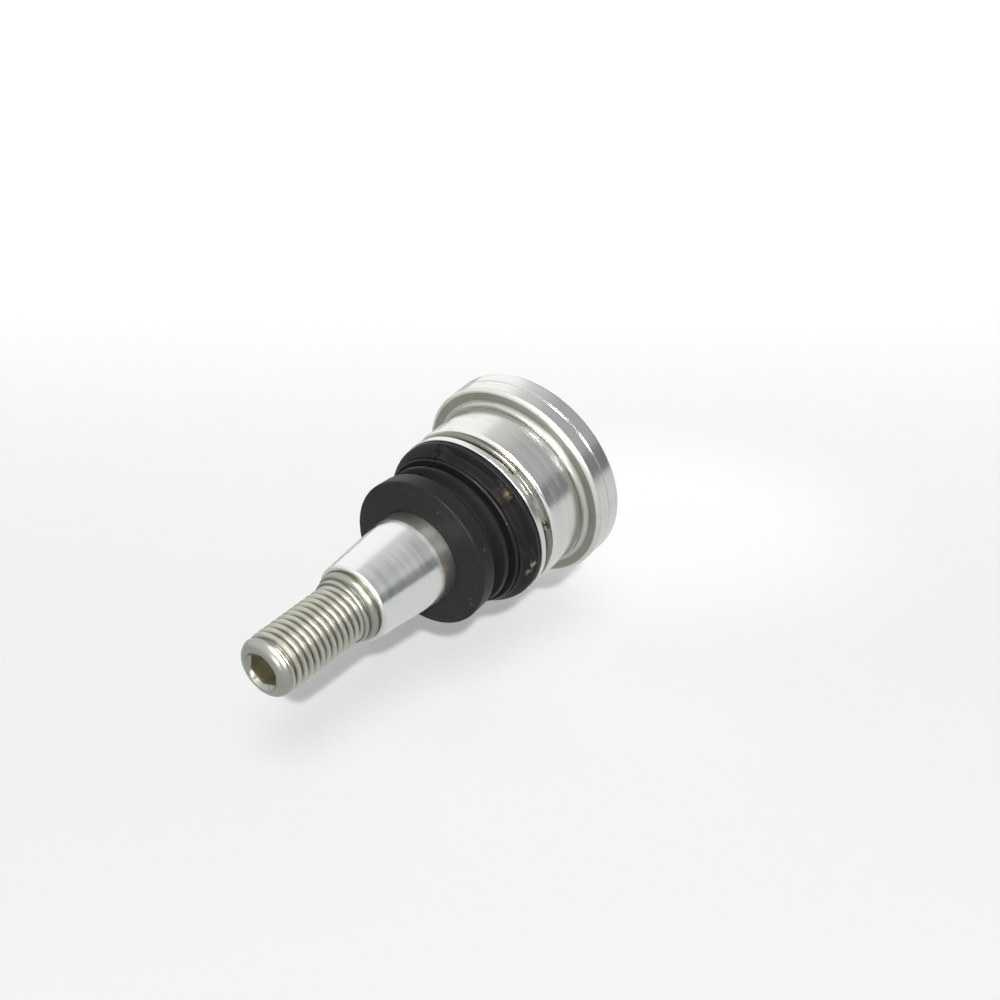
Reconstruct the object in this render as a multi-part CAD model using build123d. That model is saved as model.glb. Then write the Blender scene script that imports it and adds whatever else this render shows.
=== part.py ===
from build123d import *
from math import cos, radians, sin, sqrt
import os

# A press-in suspension ball joint. Millimetres. The origin is the centre of the ball, +Z runs up the
# housing axis towards the stud, and the stud leans by a few degrees, as a free one does.
# Heights of the housing are along Z. Heights of the stud and of the boot's collar are along the stud axis.

# Housing, outside
ball_height = 15.1          # ball centre above the base
flange_radius = 21.6
flange_thickness = 7.1
flange_edge_rounding = 0.7
flange_line_height = 3.5    # turned line round the flange, above the base
flange_line_width = 0.4
flange_line_depth = 0.25
seat_radius = 18.2          # press-fit diameter, halved
seat_length = 10.3          # from the flange face to the ring groove
seat_root_rounding = 0.9
seat_end_rounding = 0.8
groove_width = 2.5          # retaining ring groove
groove_depth = 1.9
rim_radius = 18.1
rim_thickness = 1.35

# Housing, inside
closing_thickness = 1.75    # turned-in wall that keeps the bearing in
housing_clearance = 0.35    # ball to housing
spigot_radius = 13.6        # short neck that centres the boot and its clamp ring
spigot_height = 2.45
spigot_chamfer = 0.3
recess_radius = 16.0        # recess of the end cover
lip_thickness = 0.8         # rolled lip under the end cover
lip_width = 1.5

# End cover and preload spring
cover_thickness = 2.0
cover_boss_radius = 8.5
cover_boss_slope = 1.2
cover_boss_drop = 0.5
spring_height = 1.5
spring_thickness = 0.7
spring_inset = 0.7          # spring's edge to the bearing's bore
spring_width = 3.4

# Ball and its bearing
ball_radius = 11.5
ball_flat_depth = 1.1
bearing_clearance = 0.05    # running fit of the ball in its shells
bearing_wall = 1.95
bearing_split = 0.4         # gap between the two shells
bearing_chamfer = 1.5
grease_hole_radius = 6.0

# Stud
lean = 4.5                  # degrees
lean_azimuth = -53.6        # degrees from +X
swing = 24.0                # largest lean that the mouth leaves room for, degrees
swing_clearance = 0.3
neck_radius = 6.5
neck_top = 13.5
neck_rounding = 3.0
flare_length = 4.3
flare_rounding = 2.0
land_radius = 9.35
land_length = 7.5
cone_large_radius = 9.45
cone_small_radius = 7.95
cone_length = 15.9
cone_end_chamfer = 0.3
bead_radius = 7.15          # round step between the cone and the thread
bead_length = 1.7
bead_rounding = 0.6
run_in_radius = 6.35
run_in_length = 1.5
thread_radius = 6.0         # M12 x 1.5, as rings
thread_pitch = 1.5
thread_depth = 0.75
thread_crest = 0.35         # width of a crest
thread_crests = 13
tip_length = 2.25
tip_rounding = 1.9
tip_radius = 5.9
socket_across_flats = 6.0
socket_depth = 6.0
socket_cone_depth = 1.2
socket_chamfer = 0.25

# Boot
boot_seat_gap = 0.1         # bead of the boot to the housing and to the clamp ring
boot_bead_thickness = 1.0
boot_bead_clearance = 0.3
boot_wall = 1.2
boot_width = 4.3            # spigot to the boot's widest radius
boot_folds = (              # height of each turn above the rim, and its depth inside the widest radius
    (1.35, 0),
    (2.2, 1.3),
    (3.2, 0.8),
    (5.3, 1.8),
    (6.3, 3.8),
    (7.5, 2.8),
    (10.2, 4.7),
)
boot_foot_inset = 0.1
fold_steps = 4              # circles of the loft in each slope of a fold
boot_roof_thickness = 1.4   # rubber above the folds, under the washer
collar_rear_radius = 15.3
collar_front_radius = 15.5
collar_thickness = 3.8
collar_rise = 0.6           # rise of the collar's face towards the stud
collar_rounding = 0.5
collar_clearance = 0.3      # collar to the stud's land

# Steel washer inside the boot's collar
washer_thickness = 1.2
washer_cover = 0.8          # rubber over the washer
washer_edge_cover = 1.6     # rubber round the washer
washer_clearance = 0.15
washer_bore_clearance = 0.6

# Clamp ring
clamp_boot_clearance = 0.4  # clamp ring to the boot's first groove
clamp_flange_thickness = 0.65
clamp_sleeve_wall = 0.8

# Retaining ring
ring_wire_radius = 0.78
ring_seat_clearance = 0.02
ring_gap_start = -130.0     # degrees from +X
ring_gap_end = -86.6

# Levels that follow
base = -ball_height
flange_top = base + flange_thickness
groove_low = flange_top + seat_length
groove_high = groove_low + groove_width
groove_radius = seat_radius - groove_depth
rim_top = groove_high + rim_thickness
spigot_top = rim_top + spigot_height
closing_low = rim_top - closing_thickness
bearing_radius = ball_radius + bearing_clearance + bearing_wall
socket_radius = ball_radius + bearing_clearance
cover_low = base + lip_thickness
cover_top = cover_low + cover_thickness
shell_low = cover_top + spring_height
spring_outer_radius = bearing_radius - spring_inset
spring_inner_radius = spring_outer_radius - spring_width
neck_low = sqrt(ball_radius**2 - neck_radius**2)
land_low = neck_top + flare_length
cone_low = land_low + land_length
cone_high = cone_low + cone_length
bead_high = cone_high + bead_length
thread_low = bead_high + run_in_length
thread_high = thread_low + thread_pitch * (thread_crests - 1) + thread_crest
stud_top = thread_high + tip_length
boot_radius = spigot_radius + boot_width
boot_low = rim_top + boot_seat_gap
bead_top = boot_low + boot_bead_thickness
fold_top = rim_top + boot_folds[-1][0]
collar_low = fold_top + boot_roof_thickness
collar_high = collar_low + collar_thickness
collar_bore_radius = land_radius + collar_clearance
clamp_flange_radius = boot_radius - boot_folds[1][1] - boot_wall - clamp_boot_clearance
washer_outer_radius = collar_front_radius - washer_edge_cover
washer_high = collar_high - washer_cover
washer_low = washer_high - washer_thickness

lean_axis = Axis((0, 0, 0), (-sin(radians(lean_azimuth)), cos(radians(lean_azimuth)), 0))


def path(*corners):
    """An open outline in the XZ plane. A corner is (radius, height) or (radius, height, rounding)."""
    points = [(corner[0], 0, corner[1]) for corner in corners]
    roundings = [corner[2] if len(corner) > 2 else 0 for corner in corners[1:-1]]
    return FilletPolyline(*points, radius=roundings)


def ring(*corners):
    """A turned ring, from the closed outline through the corners."""
    points = [(corner[0], 0, corner[1]) for corner in corners]
    roundings = [corner[2] if len(corner) > 2 else 0 for corner in corners]
    return revolve(make_face(FilletPolyline(*points, radius=roundings, close=True)), Axis.Z)


def turned(*lines):
    """A turned solid, from lines that make a closed outline."""
    return revolve(make_face(Curve() + list(lines)), Axis.Z)


def sphere_arc(radius, low, high):
    """The arc of a sphere's outline between two heights."""
    middle = (low + high) / 2
    ends = [(sqrt(max(radius**2 - height**2, 0)), 0, height) for height in (low, middle, high)]
    return ThreePointArc(*ends)


def leaning(solid, share=1.0):
    """A solid turned about the ball centre by a share of the stud's lean."""
    return solid.rotate(lean_axis, lean * share)


def mouth_radius(height):
    """Radius of the housing's mouth, which the neck clears at full swing."""
    reach = neck_radius + swing_clearance + height * sin(radians(swing))
    return reach / cos(radians(swing))


def mouth_low():
    """Height where the mouth's cone meets the hollow round the ball."""
    hollow = ball_radius + housing_clearance
    nearest = neck_radius + swing_clearance
    along = sqrt(hollow**2 - nearest**2)
    return along * cos(radians(swing)) - nearest * sin(radians(swing))


def make_housing():
    line_low = base + flange_line_height - flange_line_width / 2
    line_high = line_low + flange_line_width
    line_radius = flange_radius - flange_line_depth
    lip_radius = recess_radius - lip_width
    hollow = ball_radius + housing_clearance
    shoulder = sqrt(hollow**2 - closing_low**2)
    outside = path(
        (shoulder, closing_low),
        (bearing_radius, closing_low),
        (bearing_radius, cover_top),
        (recess_radius, cover_top),
        (recess_radius, cover_low),
        (lip_radius, cover_low),
        (lip_radius, base),
        (flange_radius, base, flange_edge_rounding),
        (flange_radius, line_low),
        (line_radius, line_low),
        (line_radius, line_high),
        (flange_radius, line_high),
        (flange_radius, flange_top, flange_edge_rounding),
        (seat_radius, flange_top, seat_root_rounding),
        (seat_radius, groove_low, seat_end_rounding),
        (groove_radius, groove_low),
        (groove_radius, groove_high),
        (rim_radius, groove_high),
        (rim_radius, rim_top),
        (spigot_radius, rim_top),
        (spigot_radius, spigot_top - spigot_chamfer),
        (spigot_radius - spigot_chamfer, spigot_top),
        (mouth_radius(spigot_top), spigot_top),
        (mouth_radius(mouth_low()), mouth_low()),
    )
    return turned(outside, sphere_arc(hollow, closing_low, mouth_low()))


def make_end_cover():
    boss_edge = cover_boss_radius + cover_boss_slope
    return ring(
        (0, cover_low - cover_boss_drop),
        (cover_boss_radius, cover_low - cover_boss_drop, cover_boss_slope),
        (boss_edge, cover_low, cover_boss_slope),
        (recess_radius, cover_low),
        (recess_radius, cover_top),
        (boss_edge, cover_top, cover_boss_slope),
        (cover_boss_radius, cover_top - cover_boss_drop, cover_boss_slope),
        (0, cover_top - cover_boss_drop),
    )


def make_preload_spring():
    return ring(
        (spring_outer_radius, cover_top),
        (spring_outer_radius, cover_top + spring_thickness),
        (spring_inner_radius, shell_low),
        (spring_inner_radius, shell_low - spring_thickness),
    )


def make_lower_shell():
    split = -bearing_split / 2
    hole_top = -sqrt(socket_radius**2 - grease_hole_radius**2)
    outside = path(
        (grease_hole_radius, hole_top),
        (grease_hole_radius, shell_low),
        (bearing_radius - bearing_chamfer, shell_low),
        (bearing_radius, shell_low + bearing_chamfer),
        (bearing_radius, split),
        (sqrt(socket_radius**2 - split**2), split),
    )
    return turned(outside, sphere_arc(socket_radius, hole_top, split))


def make_upper_shell():
    split = bearing_split / 2
    outside = path(
        (sqrt(socket_radius**2 - split**2), split),
        (bearing_radius, split),
        (bearing_radius, closing_low),
        (sqrt(socket_radius**2 - closing_low**2), closing_low),
    )
    return turned(outside, sphere_arc(socket_radius, split, closing_low))


def make_clamp_ring():
    flange_low = bead_top + boot_seat_gap
    flange_high = flange_low + clamp_flange_thickness
    sleeve_radius = spigot_radius + clamp_sleeve_wall
    return ring(
        (spigot_radius, flange_low),
        (clamp_flange_radius, flange_low),
        (clamp_flange_radius, flange_high),
        (sleeve_radius, flange_high),
        (sleeve_radius, spigot_top),
        (spigot_radius, spigot_top),
    )


def make_retaining_ring():
    centre = groove_radius + ring_wire_radius + ring_seat_clearance
    height = groove_low + ring_wire_radius + ring_seat_clearance
    wire = Plane.XZ * Pos(centre, height) * Circle(ring_wire_radius)
    sweep_angle = 360 - (ring_gap_end - ring_gap_start)
    return revolve(wire, Axis.Z, sweep_angle).rotate(Axis.Z, ring_gap_end)


def make_socket():
    """The hexagon socket in the stud's end, with its drilled bottom and its chamfered mouth."""
    flats_radius = socket_across_flats / 2
    corner_radius = flats_radius / cos(radians(30))
    hexagon = RegularPolygon(flats_radius, 6, major_radius=False)
    bore = Pos(0, 0, stud_top - socket_depth) * extrude(hexagon, socket_depth)
    drilled = ring(
        (0, stud_top - socket_depth - socket_cone_depth),
        (flats_radius, stud_top - socket_depth),
        (0, stud_top - socket_depth),
    )
    mouth = ring(
        (0, stud_top - socket_chamfer),
        (corner_radius - socket_chamfer / 2, stud_top - socket_chamfer),
        (corner_radius + socket_chamfer / 2, stud_top),
        (0, stud_top),
    )
    return bore + drilled + mouth


def thread_corners():
    """The thread's outline, as rings with flat crests."""
    corners = []
    for turn in range(thread_crests):
        crest_low = thread_low + thread_pitch * turn
        crest_high = crest_low + thread_crest
        corners += [(thread_radius, crest_low), (thread_radius, crest_high)]
        corners.append((thread_radius - thread_depth, (crest_high + crest_low + thread_pitch) / 2))
    return corners[:-1]


def make_ball_stud():
    flat = ball_flat_depth - ball_radius
    flat_radius = sqrt(ball_radius**2 - flat**2)
    shank = path(
        (neck_radius, neck_low),
        (neck_radius, neck_top, neck_rounding),
        (land_radius, land_low, flare_rounding),
        (land_radius, cone_low),
        (cone_large_radius, cone_low),
        (cone_small_radius, cone_high - cone_end_chamfer),
        (cone_small_radius - cone_end_chamfer, cone_high),
        (bead_radius, cone_high),
        (bead_radius, bead_high, bead_rounding),
        (run_in_radius, bead_high),
        (run_in_radius, thread_low),
        *thread_corners(),
        (tip_radius, stud_top, tip_rounding),
        (0, stud_top),
        (0, flat),
        (flat_radius, flat),
    )
    return leaning(turned(shank, sphere_arc(ball_radius, flat, neck_low)) - make_socket())


def boot_levels(inset, low, low_radius):
    """Heights and radii up the boot's folds, eased like a wave from each turn to the next."""
    turns = [(low, low_radius)]
    folds = [(rim_top + rise, boot_radius - depth - inset) for rise, depth in boot_folds]
    turns += [fold for fold in folds if fold[0] > low]
    levels = [turns[0]]
    for (height, radius), (next_height, next_radius) in zip(turns, turns[1:]):
        for step in range(1, fold_steps + 1):
            share = step / fold_steps
            eased = (1 - cos(radians(180 * share))) / 2
            levels.append((height + (next_height - height) * share, radius + (next_radius - radius) * eased))
    return levels


def boot_loft(inset, low, low_radius):
    """The boot's folds as a solid loft of circles that lean more and more towards the collar."""
    circles = []
    for height, radius in boot_levels(inset, low, low_radius):
        share = max(0, (height - bead_top) / (fold_top - bead_top))
        circles.append(leaning(Pos(0, 0, height) * Circle(radius), share))
    return loft(circles, ruled=True)


def make_boot_collar():
    fold_radius = boot_radius - boot_folds[-1][1]
    return ring(
        (0, fold_top),
        (fold_radius, fold_top),
        (collar_rear_radius, collar_low, collar_rounding),
        (collar_front_radius, collar_high, collar_rounding),
        (collar_bore_radius, collar_high + collar_rise),
        (0, collar_high + collar_rise),
    )


def make_boot():
    bead_bore = spigot_radius + boot_bead_clearance
    outside = boot_loft(0, boot_low, boot_radius - boot_foot_inset) + leaning(make_boot_collar())
    hollow = boot_loft(boot_wall, bead_top, boot_radius - boot_wall)
    foot_bore = Pos(0, 0, boot_low) * extrude(Circle(bead_bore), boot_folds[0][0])
    bore_length = 2 * collar_thickness + collar_rise
    collar_bore = Pos(0, 0, fold_top) * extrude(Circle(collar_bore_radius), bore_length)
    washer_slot = ring(
        (0, washer_low - washer_clearance),
        (washer_outer_radius + washer_clearance, washer_low - washer_clearance),
        (washer_outer_radius + washer_clearance, washer_high + washer_clearance),
        (0, washer_high + washer_clearance),
    )
    return outside - hollow - foot_bore - leaning(collar_bore + washer_slot)


def make_collar_washer():
    bore = land_radius + washer_bore_clearance
    washer = ring(
        (bore, washer_low),
        (washer_outer_radius, washer_low),
        (washer_outer_radius, washer_high),
        (bore, washer_high),
    )
    return leaning(washer)


def main():
    nodes = {
        "housing": make_housing(),
        "end_cover": make_end_cover(),
        "preload_spring": make_preload_spring(),
        "lower_bearing_shell": make_lower_shell(),
        "upper_bearing_shell": make_upper_shell(),
        "boot_clamp_ring": make_clamp_ring(),
        "retaining_ring": make_retaining_ring(),
        "dust_boot": make_boot(),
        "boot_collar_washer": make_collar_washer(),
        "ball_stud": make_ball_stud(),
    }
    os.makedirs("parts", exist_ok=True)
    for name, solid in nodes.items():
        export_step(solid, f"parts/{name}.step")


if __name__ == "__main__":
    main()
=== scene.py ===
"""Dressed scene of a press-in suspension ball joint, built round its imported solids.

Every length is in metres in the solids' own frame: the origin is the centre of the ball and +Z runs up
the housing's axis towards the stud. Sizes are written in millimetres and turned into metres by MM.
"""
import logging
import math
from dataclasses import dataclass, field
from enum import Enum
from typing import Callable, Iterable

import bmesh
import bpy
from mathutils import Matrix, Vector


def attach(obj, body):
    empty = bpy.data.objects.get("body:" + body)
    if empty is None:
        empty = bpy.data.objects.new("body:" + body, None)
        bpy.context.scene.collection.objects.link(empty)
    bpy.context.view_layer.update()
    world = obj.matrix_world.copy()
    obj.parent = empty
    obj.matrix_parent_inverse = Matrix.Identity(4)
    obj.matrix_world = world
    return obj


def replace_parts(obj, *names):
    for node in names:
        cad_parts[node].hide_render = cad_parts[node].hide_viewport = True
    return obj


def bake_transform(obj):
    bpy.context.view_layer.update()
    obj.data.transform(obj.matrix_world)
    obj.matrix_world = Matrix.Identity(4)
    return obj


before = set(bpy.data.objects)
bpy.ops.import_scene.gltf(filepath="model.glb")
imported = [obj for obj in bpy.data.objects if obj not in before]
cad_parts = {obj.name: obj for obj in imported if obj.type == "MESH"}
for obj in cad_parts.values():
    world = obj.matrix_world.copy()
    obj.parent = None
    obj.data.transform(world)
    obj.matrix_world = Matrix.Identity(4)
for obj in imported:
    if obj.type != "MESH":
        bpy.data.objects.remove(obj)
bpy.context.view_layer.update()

MM = 0.001
MERGE = 0.0002 * MM     # vertices nearer to each other than this become one
SLIVER = 0.0001 * MM    # edges shorter than this are dissolved
NODE_GAP = 180.0        # spacing of the nodes in the editor
CENTRE = (0.0, 0.0, 0.0)
LOG = logging.getLogger("ball_joint")

BMesh = bmesh.types.BMesh
BMVert = bmesh.types.BMVert
BMEdge = bmesh.types.BMEdge
Piece = bpy.types.Object
Node = bpy.types.Node
Socket = bpy.types.NodeSocket
Sockets = bpy.types.bpy_prop_collection
Triple = tuple[float, float, float]
Pair = tuple[float, float]
Ramp = tuple[float, float, float, float]    # from low and high to the two results
Inputs = dict[str | int, object]            # a value or another node's output for each input
Corner = Pair | Triple                      # radius, height and rounding in millimetres
Coat = tuple[Socket, Socket]                # a colour and a roughness


class Body(Enum):
    """The moving bodies of the joint."""

    HOUSING = "housing_body"
    BOOT = "boot_body"
    COLLAR = "collar_body"
    STUD = "stud_body"


class Slot(Enum):
    """The record's material slots, by name."""

    MACHINED = "machined_steel"
    STUD = "stud_steel"
    SPRING = "spring_steel"
    RUBBER = "boot_rubber"


# ---- frame


@dataclass(frozen=True)
class Lean:
    """How the stud leans from the housing's axis."""

    degrees: float = 4.5
    azimuth: float = -53.6

    @property
    def hinge(self) -> Vector:
        """The axis that the stud leans about."""
        turn = math.radians(self.azimuth)
        return Vector((-math.sin(turn), math.cos(turn), 0.0))

    @property
    def axis(self) -> Vector:
        """The stud's axis."""
        return self.matrix() @ Vector((0.0, 0.0, 1.0))

    def matrix(self, share: float = 1.0) -> Matrix:
        """The turn about the ball's centre for a share of the lean.

        Args:
            share: from 0, upright, to 1, the stud's whole lean.

        Returns:
            A 3 by 3 rotation.
        """
        return Matrix.Rotation(math.radians(self.degrees) * share, 3, self.hinge)


LEAN = Lean()


def clamped(value: float) -> float:
    """A number kept between nought and one."""
    return min(max(value, 0.0), 1.0)


def placed(name: str, data: bpy.types.ID) -> Piece:
    """Makes an object and links it to the scene.

    Args:
        name: the object's name.
        data: its mesh, camera or light.

    Returns:
        The object, at the origin.
    """
    piece = bpy.data.objects.new(name, data)
    bpy.context.scene.collection.objects.link(piece)
    return piece


# ---- meshes


class Turning:
    """Turned meshes from a profile of corners, and the operations that finish any mesh."""

    @staticmethod
    def profile(corners: Iterable[Corner], closed: bool = True, segments: int = 8) -> BMesh:
        """A profile in the XZ plane, with its corners rounded.

        Args:
            corners: (radius, height) or (radius, height, rounding) in millimetres.
            closed: whether the last corner joins the first.
            segments: segments of each rounding.

        Returns:
            A bmesh that holds the profile's vertices and edges.
        """
        bm = bmesh.new()
        listed = [tuple(corner) + (0.0,) * (3 - len(corner)) for corner in corners]
        verts = [bm.verts.new((radius * MM, 0.0, height * MM)) for radius, height, _ in listed]
        for first, second in zip(verts, verts[1:] + verts[:1] if closed else verts[1:]):
            bm.edges.new((first, second))
        count = len(verts)
        rounded = []
        for index, (_, _, rounding) in enumerate(listed):
            if rounding <= 0.0:
                continue
            here = verts[index].co
            before = (verts[index - 1].co - here).normalized()
            after = (verts[(index + 1) % count].co - here).normalized()
            half_turn = (math.pi - before.angle(after)) / 2
            rounded.append((verts[index], rounding * MM * math.tan(half_turn)))
        for vert, offset in rounded:
            bmesh.ops.bevel(bm, geom=[vert], offset=offset, offset_type="OFFSET", segments=segments,
                            profile=0.5, affect="VERTICES", material=-1)
        return bm

    @staticmethod
    def turn(bm: BMesh, matrix: Matrix) -> None:
        """Turns a whole mesh about the ball's centre."""
        bmesh.ops.rotate(bm, verts=bm.verts[:], cent=CENTRE, matrix=matrix)

    @staticmethod
    def merge(bm: BMesh) -> None:
        """Joins the vertices that touch, and dissolves edges of no length."""
        bmesh.ops.remove_doubles(bm, verts=bm.verts[:], dist=MERGE)
        bmesh.ops.dissolve_degenerate(bm, edges=bm.edges[:], dist=SLIVER)

    @staticmethod
    def extrude(bm: BMesh, edges: list[BMEdge]) -> tuple[list[BMVert], list[BMEdge]]:
        """Extrudes a loop of edges in place.

        Args:
            bm: the mesh, changed in place.
            edges: the loop.

        Returns:
            The new loop's vertices and its edges.
        """
        made = bmesh.ops.extrude_edge_only(bm, edges=edges)["geom"]
        verts = [item for item in made if isinstance(item, BMVert)]
        return verts, [item for item in made if isinstance(item, BMEdge) and item.is_boundary]

    @staticmethod
    def spin(bm: BMesh, steps: int = 256, degrees: float = 360.0, start: float = 0.0) -> None:
        """Spins a profile about Z and closes its poles.

        Args:
            bm: the profile, changed in place.
            steps: steps of the spin.
            degrees: angle of the spin.
            start: angle that the profile is turned to first.
        """
        Turning.turn(bm, Matrix.Rotation(math.radians(start), 3, "Z"))
        full = degrees >= 360.0
        bmesh.ops.spin(bm, geom=bm.verts[:] + bm.edges[:] + bm.faces[:], cent=CENTRE, axis=(0, 0, 1),
                       angle=math.radians(degrees), steps=steps, use_merge=full, use_duplicate=False)
        Turning.merge(bm)

    @staticmethod
    def finish(bm: BMesh, name: str, sharp: float = 32.0, weigh: bool = True) -> Piece:
        """Makes an object from a bmesh, with outward normals and smooth shading between sharp edges.

        Args:
            bm: the mesh, which is freed.
            name: the piece's name.
            sharp: edges that turn by more than this many degrees stay sharp.
            weigh: whether broad faces keep their own normals beside small roundings.

        Returns:
            The new object, at the origin.
        """
        bmesh.ops.recalc_face_normals(bm, faces=bm.faces[:])
        mesh = bpy.data.meshes.new(name)
        bm.to_mesh(mesh)
        bm.free()
        mesh.shade_smooth()
        mesh.set_sharp_from_angle(angle=math.radians(sharp))
        piece = placed(name, mesh)
        if weigh:
            weighted = piece.modifiers.new("Weighted", "WEIGHTED_NORMAL")
            weighted.weight = 100
            weighted.keep_sharp = True
        return piece


# ---- materials


def opaque(colour: Triple, part: float = 1.0) -> tuple[float, ...]:
    """A colour, or a darker part of it, for a colour socket."""
    return tuple(part * value for value in colour) + (1.0,)


class NodeMaker:
    """Builds and joins the nodes of one tree."""

    def __init__(self, tree: bpy.types.NodeTree) -> None:
        """Starts on a tree, with no nodes placed yet."""
        self.tree = tree
        self.column = 0

    def fill(self, node: Node, inputs: Inputs) -> None:
        """Sets a node's inputs.

        Args:
            node: the node.
            inputs: for each input, a value or another node's output socket.
        """
        for key, value in inputs.items():
            if isinstance(value, Socket):
                self.tree.links.new(value, node.inputs[key])
            else:
                node.inputs[key].default_value = value

    def add(self, kind: str, inputs: Inputs | None = None, **settings: object) -> Node:
        """Adds a node, sets it and fills its inputs.

        Args:
            kind: the node's type.
            inputs: for each input, a value or another node's output socket.
            settings: properties of the node.

        Returns:
            The node.
        """
        node = self.tree.nodes.new(kind)
        self.column += 1
        node.location = (self.column * NODE_GAP, 0.0)
        for key, value in settings.items():
            setattr(node, key, value)
        self.fill(node, inputs or {})
        return node

    def math(self, operation: str, first: object, second: object = 0.0, clamp: bool = False) -> Socket:
        """A Math node's output."""
        inputs = {0: first, 1: second}
        return self.add("ShaderNodeMath", inputs, operation=operation, use_clamp=clamp).outputs[0]

    def times(self, first: object, second: object, clamp: bool = False) -> Socket:
        """One value times another."""
        return self.math("MULTIPLY", first, second, clamp)

    def ramp(self, value: object, low: float, high: float, out_low: float = 0.0,
             out_high: float = 1.0) -> Socket:
        """A clamped, smooth Map Range from low and high to the two results."""
        inputs = {"Value": value, "From Min": low, "From Max": high, "To Min": out_low, "To Max": out_high}
        return self.add("ShaderNodeMapRange", inputs, interpolation_type="SMOOTHSTEP").outputs["Result"]

    def measure(self, operation: str, first: object, second: object) -> Socket:
        """The number that a Vector Math node makes of two vectors."""
        return self.add("ShaderNodeVectorMath", {0: first, 1: second}, operation=operation).outputs["Value"]

    def parts(self, place: Socket) -> Sockets:
        """The X, Y and Z of a vector."""
        return self.add("ShaderNodeSeparateXYZ", {0: place}).outputs

    def radius(self, parts: Sockets) -> Socket:
        """The distance from the Z axis."""
        squares = [self.math("POWER", parts[axis], 2.0) for axis in "XY"]
        return self.math("SQRT", self.math("ADD", *squares))

    def noise(self, place: Socket, scale: object, detail: float, **more: float) -> Socket:
        """A noise texture's value."""
        inputs = {"Vector": place, "Scale": scale, "Detail": detail, **more}
        return self.add("ShaderNodeTexNoise", inputs).outputs["Fac"]

    def stand_up(self, place: Socket, share: float = 1.0) -> Socket:
        """Coordinates turned back upright from a share of the stud's lean."""
        turn = tuple(LEAN.matrix(share).inverted().to_euler())
        return self.add("ShaderNodeMapping", {"Vector": place, "Rotation": turn}).outputs[0]

    def group(self, effect: "Effect", **inputs: object) -> Socket:
        """The output of a shared effect, given its named inputs."""
        return self.add("ShaderNodeGroup", inputs, node_tree=effect.tree()).outputs[0]

    def mix_value(self, factor: object, first: object, second: object) -> Socket:
        """A plain number between two others."""
        return self.add("ShaderNodeMix", {0: factor, 2: first, 3: second}, data_type="FLOAT").outputs[0]

    def mix_colour(self, factor: object, first: object, second: object) -> Socket:
        """A colour between two others."""
        return self.add("ShaderNodeMix", {0: factor, 6: first, 7: second}, data_type="RGBA").outputs[2]

    def lay(self, mask: Socket, under: Coat, colour: object, rough: float) -> Coat:
        """A coat with another colour and roughness laid over it where the mask is."""
        return self.mix_colour(mask, under[0], colour), self.mix_value(mask, under[1], rough)

    def bump(self, height: Socket, distance: float, strength: float = 1.0) -> Socket:
        """The normal of a relief."""
        inputs = {"Strength": strength, "Distance": distance, "Height": height}
        return self.add("ShaderNodeBump", inputs).outputs["Normal"]


@dataclass(frozen=True)
class Effect:
    """A shader node group with one output, for use in any material."""

    name: str
    vectors: tuple[str, ...]
    numbers: tuple[str, ...]
    output: str
    fill: Callable[[NodeMaker, Sockets], Socket]

    def tree(self) -> bpy.types.NodeTree:
        """Builds the group on its first use.

        Returns:
            The group.
        """
        if self.name in bpy.data.node_groups:
            return bpy.data.node_groups[self.name]
        group = bpy.data.node_groups.new(self.name, "ShaderNodeTree")
        for labels, kind in ((self.vectors, "NodeSocketVector"), (self.numbers, "NodeSocketFloat")):
            for label in labels:
                group.interface.new_socket(name=label, in_out="INPUT", socket_type=kind)
        group.interface.new_socket(name=self.output, in_out="OUTPUT", socket_type="NodeSocketFloat")
        make = NodeMaker(group)
        result = self.fill(make, make.add("NodeGroupInput").outputs)
        make.add("NodeGroupOutput", {self.output: result})
        return group


def fill_lines(make: NodeMaker, given: Sockets) -> Socket:
    """Fills the group for the fine rings that a lathe tool leaves about Z.

    Args:
        make: the group's node maker.
        given: the group's inputs.

    Returns:
        The rings' height, which hardly changes round the axis.
    """
    place = make.parts(given["Vector"])
    turn = make.math("ARCTAN2", place["Y"], place["X"])
    rings = make.add("ShaderNodeCombineXYZ", {
        "X": make.times(make.radius(place), given["Scale"]),
        "Y": make.times(place["Z"], given["Scale"]),
        "Z": make.times(make.math("SINE", turn), given["Waver"]),
    }).outputs[0]
    return make.noise(rings, scale=1.0, detail=5.0, Roughness=0.65)


def fill_band(make: NodeMaker, given: Sockets) -> Socket:
    """Fills the group for a turned band between two heights and two radii about Z.

    Args:
        make: the group's node maker.
        given: the group's inputs.

    Returns:
        One inside the band and nought outside it, over a soft edge.
    """
    place = make.parts(given["Vector"])
    mask: object = 1.0
    for value, low, high in ((place["Z"], "Low", "High"), (make.radius(place), "Inner", "Outer")):
        for edge, sign in ((low, 1.0), (high, -1.0)):
            beyond = make.times(make.math("SUBTRACT", value, given[edge]), sign)
            step = make.math("ADD", make.math("DIVIDE", beyond, given["Edge"]), 0.5, clamp=True)
            mask = make.times(mask, step)
    return mask


def fill_smear(make: NodeMaker, given: Sockets) -> Socket:
    """Fills the group for a small ragged smear about a point.

    Args:
        make: the group's node maker.
        given: the group's inputs.

    Returns:
        A spot whose edge a noise breaks up.
    """
    middle, raggedness, steepness = 0.62, 2.2, 4.0
    apart = make.measure("DISTANCE", given["Vector"], given["Place"])
    near = make.math("SUBTRACT", 1.0, make.math("DIVIDE", apart, given["Size"]))
    noise = make.noise(given["Vector"], scale=1500.0, detail=3.0)
    broken = make.math("ADD", near, make.times(make.math("SUBTRACT", noise, middle), raggedness))
    return make.times(broken, make.times(near, steepness, clamp=True), clamp=True)


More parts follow.
